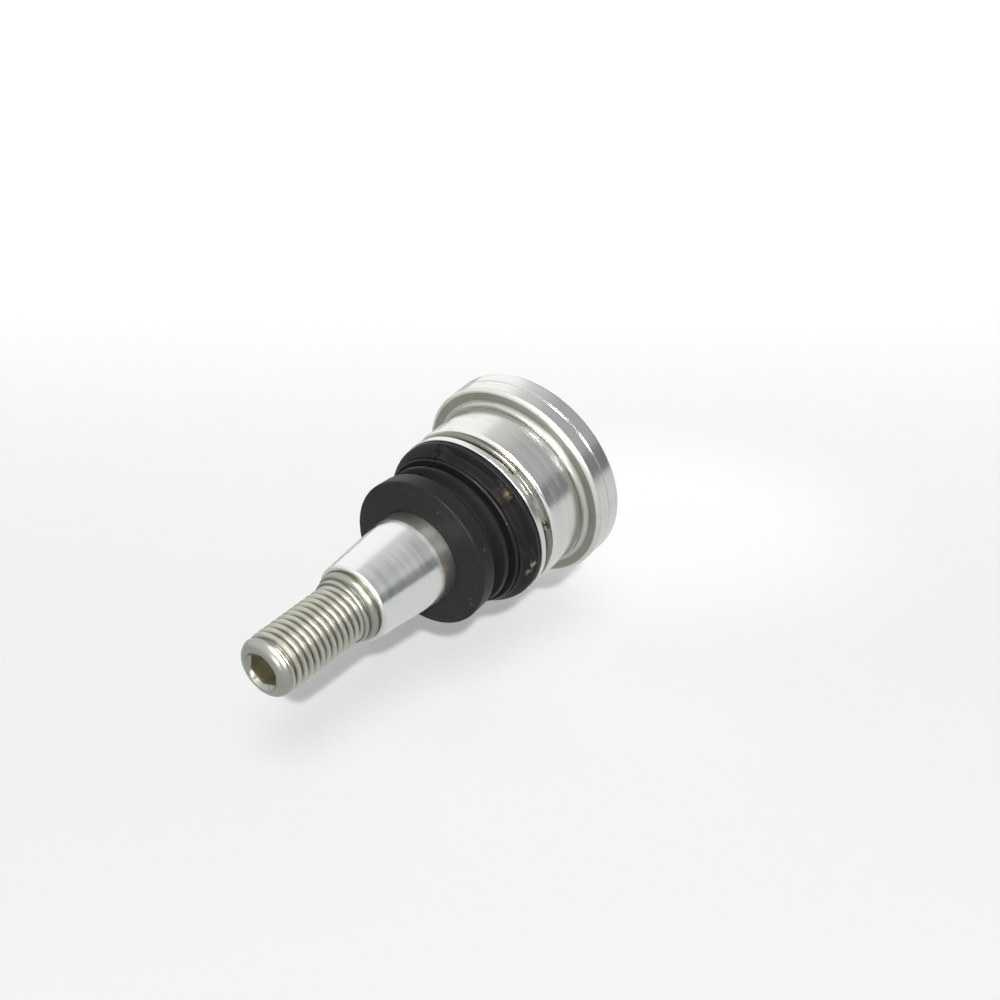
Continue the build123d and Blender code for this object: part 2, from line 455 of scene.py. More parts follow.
def fill_blotches(make: NodeMaker, given: Sockets) -> Socket:
    """Fills the group for stains and other soft-edged blotches.

    Args:
        make: the group's node maker.
        given: the group's inputs.

    Returns:
        A noise that is cut off softly at a level.
    """
    noise = make.noise(given["Vector"], given["Scale"], detail=6.0, Roughness=0.62, Distortion=0.3)
    return make.times(make.math("SUBTRACT", noise, given["Level"]), given["Contrast"], clamp=True)


def fill_specks(make: NodeMaker, given: Sockets) -> Socket:
    """Fills the group for scattered specks of dust.

    Args:
        make: the group's node maker.
        given: the group's inputs.

    Returns:
        Small cells of which only a share is filled.
    """
    outside, inside = 0.32, 0.12
    inputs = {"Vector": given["Vector"], "Scale": given["Scale"], "Randomness": 1.0}
    cells = make.add("ShaderNodeTexVoronoi", inputs).outputs
    chance = make.add("ShaderNodeSeparateColor", {0: cells["Color"]}).outputs[0]
    chosen = make.math("LESS_THAN", chance, given["Share"])
    return make.times(make.ramp(cells["Distance"], outside, inside), chosen)


LATHE_LINES = Effect("Lathe lines", ("Vector",), ("Scale", "Waver"), "Height", fill_lines)
BAND_MASK = Effect("Turned zone", ("Vector",), ("Low", "High", "Inner", "Outer", "Edge"), "Mask", fill_band)
SMEAR_MASK = Effect("Smear", ("Vector", "Place"), ("Size",), "Mask", fill_smear)
BLOTCHES = Effect("Blotches", ("Vector",), ("Scale", "Level", "Contrast"), "Mask", fill_blotches)
SPECKS = Effect("Specks", ("Vector",), ("Scale", "Share"), "Mask", fill_specks)


@dataclass(frozen=True)
class Finish:
    """What every finish has: a name, and a material that is made once."""

    name: str

    def material(self) -> bpy.types.Material:
        """Makes the finish's material on its first use.

        Returns:
            The material.
        """
        if self.name in bpy.data.materials:
            return bpy.data.materials[self.name]
        material = bpy.data.materials.new(self.name)
        material.use_nodes = True
        make = NodeMaker(material.node_tree)
        place = make.add("ShaderNodeTexCoord").outputs["Object"]
        make.fill(make.tree.nodes["Principled BSDF"], self.build(make, place))
        return material

    def build(self, make: NodeMaker, place: Socket) -> Inputs:
        """Builds the finish's nodes.

        Args:
            make: the material's node maker.
            place: the object coordinates.

        Returns:
            What goes into each of the shader's inputs.
        """
        raise NotImplementedError

    def dress(self, piece: Piece) -> None:
        """Gives a piece this finish in every material slot.

        Args:
            piece: a new piece or a solid's node.
        """
        if not piece.data.materials:
            piece.data.materials.append(self.material())
        for slot in piece.material_slots:
            slot.material = self.material()


@dataclass(frozen=True)
class Band:
    """A turned band between two heights and two radii in millimetres."""

    low: float
    high: float
    inner: float
    outer: float

    def mask(self, make: NodeMaker, place: Socket, edge: float, share: float) -> Socket:
        """Where the band lies.

        Args:
            make: the material's node maker.
            place: upright coordinates.
            edge: width of the band's soft edges in millimetres.
            share: how far the band covers what is under it.

        Returns:
            The mask.
        """
        inputs = {"Low": self.low, "High": self.high, "Inner": self.inner, "Outer": self.outer, "Edge": edge}
        sizes = {label: size * MM for label, size in inputs.items()}
        return make.times(make.group(BAND_MASK, Vector=place, **sizes), share)


@dataclass(frozen=True)
class Zone(Band):
    """A band of another finish or colour; some bands are painted shade."""

    colour: Triple
    roughness: float
    edge: float = 0.3
    share: float = 1.0
    mottle: float = 0.0


@dataclass(frozen=True)
class CreaseShade(Band):
    """A band of the upright boot that takes painted shade, where the folds crease."""

    lean: float
    share: float = 0.85
    speckled: bool = False


@dataclass(frozen=True)
class Smear:
    """A smear of grease or rust about a point in millimetres."""

    place: Triple
    size: float
    colour: Triple
    share: float = 0.8

    def lay(self, make: NodeMaker, place: Socket, coat: Coat, rough: float) -> Coat:
        """Lays the smear over a coat.

        Args:
            make: the material's node maker.
            place: the object coordinates.
            coat: the colour and the roughness so far.
            rough: the smear's roughness.

        Returns:
            The colour and the roughness with the smear in them.
        """
        spot = tuple(part * MM for part in self.place)
        mask = make.group(SMEAR_MASK, Vector=place, Place=spot, Size=self.size * MM)
        return make.lay(make.times(mask, self.share), coat, opaque(self.colour), rough)


@dataclass(frozen=True)
class TurnedSteel(Finish):
    """Steel with lathe lines about an axis, zones of other finish and of painted shade, faint stains and
    smears.
    """

    colour: Triple = (0.74, 0.74, 0.72)
    stain: Triple = (0.5, 0.5, 0.46)
    roughness: float = 0.2
    line_scale: float = 5200.0
    line_height: float = 0.0004
    line_tint: float = 0.12
    line_shade: float = 0.6
    line_range: Pair = (0.3, 0.7)
    gloss_range: Pair = (0.25, 0.75)
    gloss_spread: Pair = (-0.03, 0.05)
    coarseness: float = 6.0
    stain_scale: float = 160.0
    stain_level: float = 0.52
    stain_share: float = 0.35
    stain_roughness: float = 0.2
    zone_shade: float = 0.7
    smear_roughness: float = 0.5
    upright: bool = True
    zones: tuple[Zone, ...] = ()
    smears: tuple[Smear, ...] = ()

    def build(self, make: NodeMaker, place: Socket) -> Inputs:
        """Builds metal whose rings and zones show in its gloss, its colour and its relief.

        Args:
            make: the material's node maker.
            place: the object coordinates.

        Returns:
            What goes into each of the shader's inputs.
        """
        if not self.upright:
            place = make.stand_up(place)
        fine = make.group(LATHE_LINES, Vector=place, Scale=self.line_scale, Waver=0.05)
        coarse = make.group(LATHE_LINES, Vector=place, Scale=self.line_scale / self.coarseness, Waver=0.2)
        stained = make.group(BLOTCHES, Vector=place, Scale=self.stain_scale, Level=self.stain_level,
                             Contrast=5.0)
        coat = self.plain(make, coarse, stained)
        for zone in self.zones:
            mottled = make.times(stained, self.stain_share + zone.mottle)
            worn = make.mix_colour(mottled, opaque(zone.colour), opaque(zone.colour, self.zone_shade))
            coat = make.lay(zone.mask(make, place, zone.edge, zone.share), coat, worn, zone.roughness)
        for smear in self.smears:
            coat = smear.lay(make, place, coat, self.smear_roughness)
        relief = make.bump(make.math("ADD", fine, coarse), self.line_height * MM)
        return {"Base Color": coat[0], "Roughness": coat[1], "Normal": relief, "Metallic": 1.0}

    def plain(self, make: NodeMaker, rings: Socket, stained: Socket) -> Coat:
        """The colour and the roughness away from the zones.

        Args:
            make: the material's node maker.
            rings: the height of the coarser lathe lines.
            stained: the mask of the stains.

        Returns:
            The colour and the roughness.
        """
        lines = make.ramp(rings, *self.line_range, 0.0, self.line_tint)
        clean = make.mix_colour(lines, opaque(self.colour), opaque(self.colour, self.line_shade))
        colour = make.mix_colour(make.times(stained, self.stain_share), clean, opaque(self.stain))
        ends = (self.roughness + change for change in self.gloss_spread)
        ringed = make.ramp(rings, *self.gloss_range, *ends)
        duller = make.times(stained, self.stain_roughness * self.stain_share)
        return colour, make.math("ADD", ringed, duller)


@dataclass(frozen=True)
class BootRubber(Finish):
    """Black rubber with a moulded sheen, a chalky film, specks, painted shade in its creases, a nick and
    grease.
    """

    colour: Triple = (0.0135, 0.0140, 0.0152)
    dust: Triple = (0.16, 0.155, 0.14)
    # Near black: the nick's colour, which is also laid as painted shade in the folds' creases
    nick: Triple = (0.002, 0.002, 0.002)
    scuff: Triple = (0.05, 0.034, 0.024)
    roughness: float = 0.4
    gloss: float = 0.12
    film_share: float = 0.02
    film_roughness: float = 0.1
    speck_share: float = 0.55
    speck_roughness: float = 0.3
    scuff_share: float = 0.4
    hollow_edge: float = 0.3
    hollow_roughness: float = 0.75
    smear_roughness: float = 0.3
    nick_angle: float = 54.0
    nick_sway: float = 3.0
    sway_range: Pair = (0.3, 0.7)
    nick_width: Ramp = (0.011, 0.036, 1.0, 0.0)
    nick_top: Pair = (16.0, 15.4)
    nick_depth: float = 0.4
    grain_height: float = 0.012
    crease_shades: tuple[CreaseShade, ...] = ()
    smears: tuple[Smear, ...] = ()

    def build(self, make: NodeMaker, place: Socket) -> Inputs:
        """Builds rubber that is greyer where dust lies on it, darkened by painted shade in its creases, and
        nicked along one line.

        Args:
            make: the material's node maker.
            place: the object coordinates.

        Returns:
            What goes into each of the shader's inputs.
        """
        film = make.group(BLOTCHES, Vector=place, Scale=320.0, Level=0.46, Contrast=3.0)
        dots = make.group(SPECKS, Vector=place, Scale=1100.0, Share=0.03)
        dusty = make.math("MAXIMUM", make.times(film, self.film_share), make.times(dots, self.speck_share))
        colour = make.mix_colour(dusty, opaque(self.colour), opaque(self.dust))
        filmed = make.ramp(film, 0.0, 1.0, self.roughness, self.roughness + self.film_roughness)
        coat = colour, make.math("ADD", filmed, make.times(dots, self.speck_roughness))
        for crease_shade in self.crease_shades:
            coat = self.paint_crease_shade(make, place, crease_shade, coat)
        line = self.nick_line(make, place)
        coat = make.mix_colour(line, coat[0], opaque(self.nick)), coat[1]
        for smear in self.smears:
            coat = smear.lay(make, place, coat, self.smear_roughness)
        grain = make.times(make.noise(place, scale=2600.0, detail=3.0), self.grain_height)
        relief = make.bump(make.math("SUBTRACT", grain, make.times(line, self.nick_depth)), MM)
        return {"Base Color": coat[0], "Roughness": coat[1], "Normal": relief,
                "Specular IOR Level": self.gloss}

    def nick_line(self, make: NodeMaker, place: Socket) -> Socket:
        """Finds the crooked nick that runs down one side of the boot.

        Args:
            make: the material's node maker.
            place: the object coordinates.

        Returns:
            The nick's mask.
        """
        parts = make.parts(place)
        turn = make.math("ARCTAN2", parts["X"], make.times(parts["Y"], -1.0))
        left, right = (math.radians(self.nick_angle + sway) for sway in (-self.nick_sway, self.nick_sway))
        middle = make.ramp(make.noise(place, scale=420.0, detail=2.0), *self.sway_range, left, right)
        apart = make.math("ABSOLUTE", make.math("SUBTRACT", turn, middle))
        top = make.ramp(parts["Z"], *(height * MM for height in self.nick_top))
        return make.times(make.ramp(apart, *self.nick_width), top)

    def paint_crease_shade(self, make: NodeMaker, place: Socket, crease_shade: CreaseShade, coat: Coat) -> Coat:
        """Darkens one band of the boot with painted shade, and rubs scuffs into it where it is speckled.

        Args:
            make: the material's node maker.
            place: the object coordinates.
            crease_shade: the band.
            coat: the colour and the roughness so far.

        Returns:
            The colour and the roughness with the band in them.
        """
        # Painted shade: the crease band is laid near black and duller
        mask = crease_shade.mask(make, make.stand_up(place, crease_shade.lean), self.hollow_edge, crease_shade.share)
        colour, rough = make.lay(mask, coat, opaque(self.nick), self.hollow_roughness)
        if crease_shade.speckled:
            fine = make.group(BLOTCHES, Vector=place, Scale=1500.0, Level=0.5, Contrast=5.0)
            rubbed = make.times(make.times(mask, fine), self.scuff_share)
            colour = make.mix_colour(rubbed, colour, opaque(self.scuff))
        return colour, rough


@dataclass(frozen=True)
class DrawnWire(Finish):
    """Drawn spring wire, streaked along its length."""

    colour: Triple = (0.25, 0.24, 0.20)
    roughness: float = 0.26
    streak_scale: float = 9000.0
    streak_shade: float = 0.6
    shade_range: Pair = (0.36, 0.7)
    gloss_range: Pair = (0.3, 0.7)
    gloss_spread: float = 0.06

    def build(self, make: NodeMaker, place: Socket) -> Inputs:
        """Builds metal with fine dark streaks that follow the wire round.

        Args:
            make: the material's node maker.
            place: the object coordinates.

        Returns:
            What goes into each of the shader's inputs.
        """
        streaks = make.group(LATHE_LINES, Vector=place, Scale=self.streak_scale, Waver=0.6)
        darker = opaque(self.colour, self.streak_shade)
        colour = make.mix_colour(make.ramp(streaks, *self.shade_range), opaque(self.colour), darker)
        duller = self.roughness + self.gloss_spread
        rough = make.ramp(streaks, *self.gloss_range, self.roughness, duller)
        return {"Base Color": colour, "Roughness": rough, "Metallic": 1.0}


@dataclass(frozen=True)
class MouldedPlastic(Finish):
    """Off-white bearing plastic."""

    colour: Triple = (0.72, 0.69, 0.58)
    roughness: float = 0.5
    grain_shade: float = 0.85
    grain_height: float = 0.01

    def build(self, make: NodeMaker, place: Socket) -> Inputs:
        """Builds plastic with a slight grain.

        Args:
            make: the material's node maker.
            place: the object coordinates.

        Returns:
            What goes into each of the shader's inputs.
        """
        grain = make.noise(place, scale=500.0, detail=3.0)
        colour = make.mix_colour(grain, opaque(self.colour), opaque(self.colour, self.grain_shade))
        relief = make.bump(grain, self.grain_height * MM, strength=0.3)
        return {"Base Color": colour, "Roughness": self.roughness, "Normal": relief}


# ---- pieces


@dataclass
class Housing:
    """The turned steel housing and the pieces that it holds. Millimetres."""

    base: float = -15.1
    flange_radius: float = 21.6
    flange_top: float = -8.0
    edge_rounding: float = 0.85
    line_height: float = 3.5
    line_width: float = 0.4
    line_depth: float = 0.25
    seat_radius: float = 18.2
    root_rounding: float = 0.85
    relief_depth: float = 0.14
    end_rounding: float = 0.8
    groove_low: float = 2.3
    groove_high: float = 4.8
    groove_radius: float = 16.3
    rim_radius: float = 18.1
    rim_top: float = 6.15
    rim_rounding: float = 0.25
    spigot_radius: float = 13.6
    spigot_top: float = 8.6
    bearing_radius: float = 13.5
    bearing_top: float = 4.4
    recess_radius: float = 16.0
    cover_low: float = -14.3
    cover_top: float = -12.3
    lip_radius: float = 14.5
    wire_radius: float = 0.78
    wire_clearance: float = 0.02
    gap_start: float = -130.0
    gap_end: float = -86.6
    steel: TurnedSteel = field(default_factory=lambda: TurnedSteel(
        "Turned housing steel",
        zones=(
            # Painted shade: the flange's rounded edge is painted a little darker than the steel, for the dim
            # surroundings that it reflects
            Zone(-9.0, -7.8, 20.6, 22.0, (0.64, 0.64, 0.60), 0.33, edge=0.2),
            # The flange's face: its olive tint is its own finish, and its darkness is painted shade standing
            # in for the shadowed floor under the joint that it reflects
            Zone(-8.25, -7.75, 19.0, 20.85, (0.29, 0.29, 0.25), 0.36, edge=0.2),
            # Painted shade: the fillet in the corner at the flange's root is painted darker, for the dim
            # surroundings that it reflects
            Zone(-8.1, -6.9, 18.1, 19.15, (0.50, 0.50, 0.46), 0.33, edge=0.2),
            # Painted shade: a dark line in the small relief groove at the seat's root
            Zone(-7.0, -6.55, 17.5, 18.15, (0.12, 0.12, 0.11), 0.35, edge=0.08),
            Zone(2.1, 4.9, 15.5, 17.4, (0.48, 0.47, 0.42), 0.2, share=0.7),
            Zone(6.1, 9.0, 0.0, 18.0, (0.16, 0.15, 0.13), 0.4),
        ),
        smears=(
            Smear((1.3, -17.0, 3.6), 1.3, (0.09, 0.05, 0.02)),
            Smear((-11.1, -12.9, 3.4), 0.9, (0.05, 0.035, 0.03)),
            Smear((-2.4, -16.9, 3.9), 1.6, (0.55, 0.50, 0.34), 0.5),
        )))
    plated: TurnedSteel = field(default_factory=lambda: TurnedSteel(
        "Plated cover steel", colour=(0.62, 0.62, 0.58), roughness=0.3))
    wire: DrawnWire = field(default_factory=lambda: DrawnWire("Drawn spring wire"))
    plastic: MouldedPlastic = field(default_factory=lambda: MouldedPlastic("Bearing plastic"))

    def corners(self) -> list[Corner]:
        """Lists the profile from the bearing's closing wall, down the inside and up the outside.

        Returns:
            The housing's corners.
        """
        line_low = self.base + self.line_height - self.line_width / 2
        line_high = line_low + self.line_width
        groove = self.flange_radius - self.line_depth
        relief = self.seat_radius - self.relief_depth
        top = self.flange_top
        return [
            (11.0, self.bearing_top), (self.bearing_radius, self.bearing_top),
            (self.bearing_radius, self.cover_top), (self.recess_radius, self.cover_top),
            (self.recess_radius, self.cover_low), (self.lip_radius, self.cover_low, 0.35),
            (self.lip_radius, self.base, 0.35), (self.flange_radius, self.base, self.edge_rounding),
            (self.flange_radius, line_low, 0.06), (groove, line_low + 0.1), (groove, line_high - 0.1),
            (self.flange_radius, line_high, 0.06), (self.flange_radius, top, self.edge_rounding),
            (self.seat_radius, top, self.root_rounding), (self.seat_radius, top + 1.02),
            (relief, top + 1.1), (relief, top + 1.28), (self.seat_radius, top + 1.4),
            (self.seat_radius, self.groove_low, self.end_rounding),
            (self.groove_radius, self.groove_low, 0.15), (self.groove_radius, self.groove_high, 0.15),
            (self.rim_radius, self.groove_high, self.rim_rounding),
            (self.rim_radius, self.rim_top, self.rim_rounding), (self.spigot_radius, self.rim_top),
            (self.spigot_radius, self.spigot_top, 0.3), (11.27, self.spigot_top, 0.3), (10.16, 6.1),
            (10.75, 5.0),
        ]

    def build(self) -> list[Piece]:
        """Builds the housing and its wire ring, and dresses the plain solids.

        Returns:
            The pieces.
        """
        bm = Turning.profile(self.corners())
        Turning.spin(bm)
        piece = Turning.finish(bm, "housing_turned")
        self.steel.dress(piece)
        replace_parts(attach(piece, Body.HOUSING.value), "housing")
        pieces = [piece, self.build_wire()]
        for node, finish in (("end_cover", self.plated), ("boot_clamp_ring", self.plated),
                             ("preload_spring", self.wire), ("lower_bearing_shell", self.plastic),
                             ("upper_bearing_shell", self.plastic), ("boot_collar_washer", self.plated)):
            finish.dress(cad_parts[node])
            pieces.append(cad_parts[node])
        return pieces

    def build_wire(self) -> Piece:
        """Builds the open wire ring that lies in the housing's groove.

        Returns:
            The ring.
        """
        bm = bmesh.new()
        bmesh.ops.create_circle(bm, cap_ends=True, segments=28, radius=self.wire_radius * MM)
        Turning.turn(bm, Matrix.Rotation(math.pi / 2, 3, "X"))
        centre = self.groove_radius + self.wire_radius + self.wire_clearance
        height = self.groove_low + self.wire_radius
        bmesh.ops.translate(bm, verts=bm.verts[:], vec=(centre * MM, 0.0, height * MM))
        Turning.spin(bm, steps=220, degrees=360.0 - (self.gap_end - self.gap_start), start=self.gap_end)
        piece = Turning.finish(bm, "retaining_wire", sharp=50.0, weigh=False)
        self.wire.dress(piece)
        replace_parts(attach(piece, Body.HOUSING.value), "retaining_ring")
        return piece


@dataclass
class Boot:
    """The ribbed rubber boot, which bends between the housing and its collar. Millimetres."""

    seat: float = 6.2
    bead_radius: float = 13.9
    bead_top: float = 7.25
    bend_low: float = 9.2
    lip_radius: float = 17.9
    fold_top: float = 16.35
    collar_low: float = 17.8
    collar_rear: float = 15.3
    collar_high: float = 21.55
    collar_front: float = 15.5
    face_line: float = 14.3
    collar_rise: float = 0.55
    rise_width: float = 6.0
    collar_bore: float = 9.37
    crease_low: float = 7.6
    crease_high: float = 10.75
    crease_radius: float = 15.6
    crease_reach: float = 52.0
    crease_fade: float = 9.0
    bridge_middle: float = -2.0
    bridge_reach: float = 5.0
    bridge_fade: float = 5.0
    bridge_share: float = 0.35
    bulge_slope: float = 0.2615
    bulge_power: float = 1.6
    long_edge: float = 0.5
    rubber: BootRubber = field(default_factory=lambda: BootRubber("Boot rubber", crease_shades=(
        # Painted shade in the creases of the folds; the first band also gets rubbed scuffs
        CreaseShade(7.3, 10.5, 15.6, 18.6, 0.05, 0.6, speckled=True),
        CreaseShade(10.45, 11.1, 12.0, 16.2, 0.35, 0.9), CreaseShade(11.8, 12.85, 12.0, 16.0, 0.55, 0.9),
        CreaseShade(14.2, 17.4, 12.0, 15.6, 0.9, 0.85),
    ), smears=(
        Smear((-1.2, -17.1, 8.3), 1.5, (0.30, 0.19, 0.05), 0.7),
        Smear((-14.6, -9.6, 8.4), 1.3, (0.45, 0.42, 0.33), 0.6),
        Smear((-15.3, -7.9, 9.2), 1.3, (0.33, 0.25, 0.10), 0.6),
    )))

    def corners(self) -> list[Corner]:
        """Lists the profile of the upright boot, up the outside and down the inside.

        Returns:
            The boot's corners.
        """
        line = self.collar_high + self.collar_rise * (self.collar_front - self.face_line) / self.rise_width
        return [
            (self.bead_radius, self.seat), (self.lip_radius - 0.1, self.seat, 0.25),
            (self.lip_radius, 7.35, 0.4), (16.2, 8.25, 0.35), (17.1, 9.05, 0.22), (15.8, 10.1, 0.6),
            (15.75, 10.8, 0.25), (16.15, 11.4, 0.2), (15.9, 11.9, 0.2), (13.6, 12.35, 0.45),
            (15.25, 13.1, 0.45), (15.05, 14.5, 0.8), (13.2, self.fold_top, 0.8),
            (self.collar_rear, self.collar_low, 0.3), (self.collar_front, self.collar_high, 0.4),
            (self.face_line + 0.15, line - 0.02), (self.face_line, line + 0.07, 0.04),
            (self.face_line - 0.3, line + 0.05), (11.0, self.collar_high + 0.5, 1.0),
            (self.collar_bore, self.collar_high + self.collar_rise, 0.15), (self.collar_bore, 16.9, 0.3),
            (12.0, 16.0, 0.5), (13.9, 14.3, 0.5), (13.9, 13.4, 0.3), (12.6, 12.3, 0.3), (14.9, 11.2, 0.3),
            (14.6, 10.2, 0.3), (15.5, 9.2, 0.3), (15.2, 8.4, 0.3), (16.4, self.bead_top, 0.2),
            (self.bead_radius, self.bead_top),
        ]

    def bulge(self, height: float) -> float:
        """The outside radius where the first folds are blown out smooth, at a height."""
        return self.lip_radius - self.bulge_slope * (height - self.crease_low) ** self.bulge_power

    def creased(self, angle: float) -> float:
        """Says how far the crease is open: nought where the fold is smooth.

        Args:
            angle: degrees from -Y towards +X.

        Returns:
            The share of the crease's full depth.
        """
        reach = clamped((self.crease_reach - abs(angle)) / self.crease_fade)
        bridge = clamped((abs(angle - self.bridge_middle) - self.bridge_reach) / self.bridge_fade)
        return reach * (self.bridge_share + (1.0 - self.bridge_share) * bridge)

    def settle(self, vert: BMVert) -> None:
        """Closes the crease at the sides of the boot, then leans the vertex with its share of the bend.

        Args:
            vert: a vertex of the upright boot, in metres.
        """
        height = vert.co.z / MM
        radius = math.hypot(vert.co.x, vert.co.y) / MM
        if self.crease_low < height < self.crease_high and radius > self.crease_radius:
            open_share = self.creased(math.degrees(math.atan2(vert.co.x, -vert.co.y)))
            wanted = radius + (self.bulge(height) - radius) * (1.0 - open_share)
            vert.co.x *= wanted / radius
            vert.co.y *= wanted / radius
        share = clamped((height - self.bead_top) / (self.fold_top - self.bead_top))
        vert.co = LEAN.matrix(share) @ vert.co

    def build(self) -> list[Piece]:
        """Builds the boot and bends it into the stud's lean.

        Returns:
            The boot.
        """
        bm = Turning.profile(self.corners(), segments=6)
        long_edges = [edge for edge in bm.edges if edge.calc_length() > self.long_edge * MM]
        bmesh.ops.subdivide_edges(bm, edges=long_edges, cuts=4)
        Turning.spin(bm, steps=220)
        for vert in bm.verts:
            self.settle(vert)
        piece = Turning.finish(bm, "boot_rubber", sharp=60.0, weigh=False)
        self.rubber.dress(piece)
        tuple(LEAN.axis * self.collar_low * MM)
        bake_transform(piece)
        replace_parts(piece, "dust_boot")
        return [piece]


@dataclass
class Stud:
    """The ball stud, with its thread and its hexagon socket. Millimetres along the stud's own axis."""

    ball_radius: float = 11.5
    flat: float = -10.4
    neck_radius: float = 6.5
    land_radius: float = 9.35
    cone_low: float = 25.3
    cone_large: float = 9.45
    cone_small: float = 7.95
    cone_high: float = 41.2
    bead_radius: float = 7.15
    bead_high: float = 42.9
    run_in_radius: float = 6.35
    thread_low: float = 44.4
    thread_high: float = 63.2
    thread_radius: float = 5.99
    core_radius: float = 5.12
    crest_half: float = 0.3
    crest_rounding: float = 0.14
    crest_flat: float = 0.6
    root_half: float = 0.86
    root_sink: float = 0.2
    pitch: float = 1.5
    extra_turn: float = 0.4
    fade_in: float = 0.3
    fade_out: float = 0.5
    nose_radius: float = 5.88
    top: float = 65.0
    mouth_radius: float = 3.85
    mouth_depth: float = 0.65
    across_flats: float = 6.0
    socket_depth: float = 6.0
    drill_clearance: float = 0.02
    drill_point: float = 1.2
    steel: TurnedSteel = field(default_factory=lambda: TurnedSteel(
        "Turned stud steel", colour=(0.73, 0.75, 0.73), upright=False, line_scale=4200.0, line_height=0.00012,
        line_tint=0.05, roughness=0.18, stain_scale=1400.0, stain_level=0.5, stain_share=0.06,
        zones=(
            Zone(-12.0, 13.0, 0.0, 12.0, (0.70, 0.70, 0.69), 0.1),
            Zone(16.5, 26.0, 0.0, 9.8, (0.42, 0.42, 0.36), 0.36, edge=1.2, share=0.85, mottle=0.9),
            Zone(41.1, 44.0, 0.0, 7.7, (0.31, 0.315, 0.27), 0.3),
            Zone(44.0, 66.0, 0.0, 7.7, (0.34, 0.345, 0.31), 0.32),
            Zone(40.7, 41.35, 0.0, 8.6, (0.60, 0.62, 0.59), 0.38, edge=0.15),
            # Painted shade: dark bands in the grooves between the cone's end, the bead, the run-in and the
            # thread
            Zone(41.15, 41.7, 0.0, 7.25, (0.20, 0.19, 0.15), 0.4, edge=0.15),
            Zone(42.95, 43.4, 0.0, 6.6, (0.16, 0.15, 0.13), 0.4, edge=0.15),
            Zone(44.3, 44.9, 0.0, 6.3, (0.2, 0.18, 0.16), 0.4, edge=0.2),
            Zone(56.0, 64.35, 0.0, 3.52, (0.50, 0.47, 0.34), 0.5, edge=0.1),
        ),
        smears=(Smear((-5.6, -7.5, 24.6), 2.2, (0.36, 0.24, 0.10), 0.6),)))
    thread_steel: TurnedSteel = field(default_factory=lambda: TurnedSteel(
        "Plated thread steel", colour=(0.46, 0.465, 0.40), stain=(0.34, 0.345, 0.29), upright=False,
        roughness=0.3, line_scale=4200.0, line_height=0.0002, line_tint=0.05, stain_scale=1200.0,
        stain_share=0.2,
        # Painted shade: the thread's roots, below the crests, are painted dark
        zones=(Zone(40.0, 70.0, 0.0, 5.5, (0.24, 0.21, 0.20), 0.45, edge=0.4),)))

    def corners(self) -> list[Corner]:
        """Lists the profile from the ball's flat to the socket's mouth.

        Returns:
            The stud's corners.
        """
        bead_low, bead_high, run_in = self.cone_high, self.bead_high, self.run_in_radius
        return [
            (0.0, self.flat), (4.91, self.flat), *self.ball_arc(), (self.neck_radius, 13.5, 3.0),
            (self.land_radius, 17.8, 2.0), (self.land_radius, self.cone_low - 0.05),
            (self.cone_large, self.cone_low, 0.1), (self.cone_small, self.cone_high, 0.5),
            (6.85, bead_low + 0.1, 0.12), (self.bead_radius + 0.05, bead_low + 0.7, 0.6),
            (self.bead_radius - 0.1, bead_high - 0.1, 0.6), (6.2, bead_high + 0.3, 0.2),
            (run_in + 0.15, bead_high + 0.75, 0.3), (run_in + 0.1, self.thread_low, 0.35),
            (self.core_radius, self.thread_low + 0.5, 0.2), (self.core_radius, self.thread_high - 0.45),
            (self.nose_radius, self.thread_high - 0.05, 0.25), (self.nose_radius, self.top, 2.2),
            (self.mouth_radius, self.top, 0.1), (self.mouth_radius - 0.1, self.top - 0.2),
        ]

    def ball_arc(self, steps: int = 40) -> list[Corner]:
        """Lists the ball's outline from its flat to the neck.

        Args:
            steps: corners of the arc.

        Returns:
            The arc's corners, without the flat's own.
        """
        low = math.asin(self.flat / self.ball_radius)
        high = math.acos(self.neck_radius / self.ball_radius)
        turns = [low + (high - low) * step / steps for step in range(1, steps + 1)]
        return [(self.ball_radius * math.cos(turn), self.ball_radius * math.sin(turn)) for turn in turns]

    def build(self) -> list[Piece]:
        """Builds the shank with its socket, and the thread.

        Returns:
            The shank and the thread.
        """
        bm = Turning.profile(self.corners(), closed=False)
        Turning.spin(bm, steps=252)
        self.cut_socket(bm)
        Turning.turn(bm, LEAN.matrix())
        shank = Turning.finish(bm, "stud_shank")
        self.steel.dress(shank)
        pieces = [shank, self.build_thread()]
        for piece in pieces:
            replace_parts(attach(piece, Body.STUD.value), "ball_stud")
        return pieces

    def cut_socket(self, bm: BMesh) -> None:
        """Runs the shank's open mouth into a hexagon, down to the socket's drilled floor.

        Args:
            bm: the upright shank, changed in place.
        """
        rim = [edge for edge in bm.edges if edge.is_boundary]
        drill = self.across_flats / 2 - self.drill_clearance
        loops = ((self.hexagon, self.mouth_depth), (self.hexagon, self.socket_depth),
                 (lambda _: drill, self.socket_depth), (lambda _: 0.0, self.socket_depth + self.drill_point))
        for radius_at, depth in loops:
            verts, rim = Turning.extrude(bm, rim)
            for vert in verts:
                angle = math.atan2(vert.co.y, vert.co.x)
                radius = radius_at(angle)
                vert.co = Vector((radius * math.cos(angle), radius * math.sin(angle), self.top - depth)) * MM
        Turning.merge(bm)

    def hexagon(self, angle: float) -> float:
        """The hexagon's radius at an angle, with a corner along X."""
        side = math.radians(60.0)
        return self.across_flats / 2 / math.cos(angle % side - side / 2)

